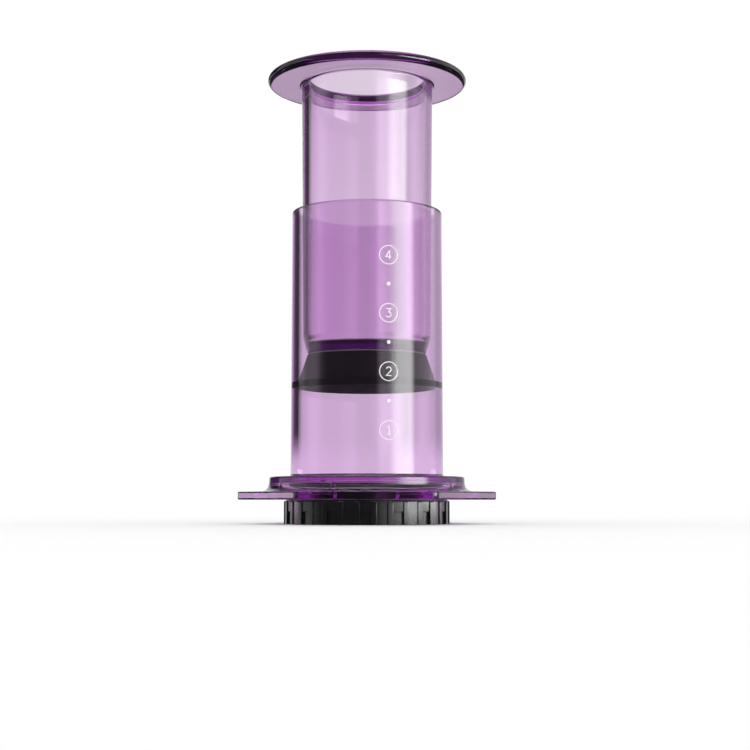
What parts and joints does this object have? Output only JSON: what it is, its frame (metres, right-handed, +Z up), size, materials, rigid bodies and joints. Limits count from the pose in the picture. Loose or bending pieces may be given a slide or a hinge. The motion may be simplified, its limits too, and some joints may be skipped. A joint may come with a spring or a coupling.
{
  "type": "piston coffee press",
  "caption": "Clear hand-pressed coffee maker: a barrel on a hexagonal mug rest, a flanged plunger with a rubber seal, and a ribbed twist-on cap that holds a paper filter.",
  "frame": {"origin": "centre of the cap's foot, on the surface that the press stands on", "axes": "+Z up along the barrel towards the plunger's flange, +X towards a corner of the hexagonal plate, -Y the front with the level marks"},
  "size_m": [0.11, 0.0964, 0.1932],
  "materials": {
    "clear_plastic": "clear tinted purple, polished",
    "seal_rubber": "satin black",
    "cap_plastic": "fine satin black",
    "filter_paper": "thin uncoated paper",
    "level_ink": "white printed ink of the level marks"
  },
  "bodies": {
    "chamber": {"chamber": "clear_plastic"},
    "seal": {"plunger_seal": "seal_rubber"},
    "plunger": {"plunger": "clear_plastic"},
    "filter": {"paper_filter": "filter_paper"},
    "cap": {"filter_cap": "cap_plastic"}
  },
  "joints": [
    {"name": "plunger_slide", "type": "slide", "parent": "chamber", "child": "seal", "axis": [0, 0, 1], "range_m": [-0.0537, 0.085]},
    {"name": "plunger_twist", "type": "hinge", "parent": "seal", "child": "plunger", "pos_m": [0, 0, 0.0721], "axis": [0, 0, 1], "continuous": true},
    {"name": "cap_drop", "type": "slide", "parent": "chamber", "child": "filter", "axis": [0, 0, -1], "range_m": [0, 0.03]},
    {"name": "cap_twist", "type": "hinge", "parent": "filter", "child": "cap", "pos_m": [0, 0, 0.0138], "axis": [0, 0, 1], "range_deg": [0, 40]}
  ]
}
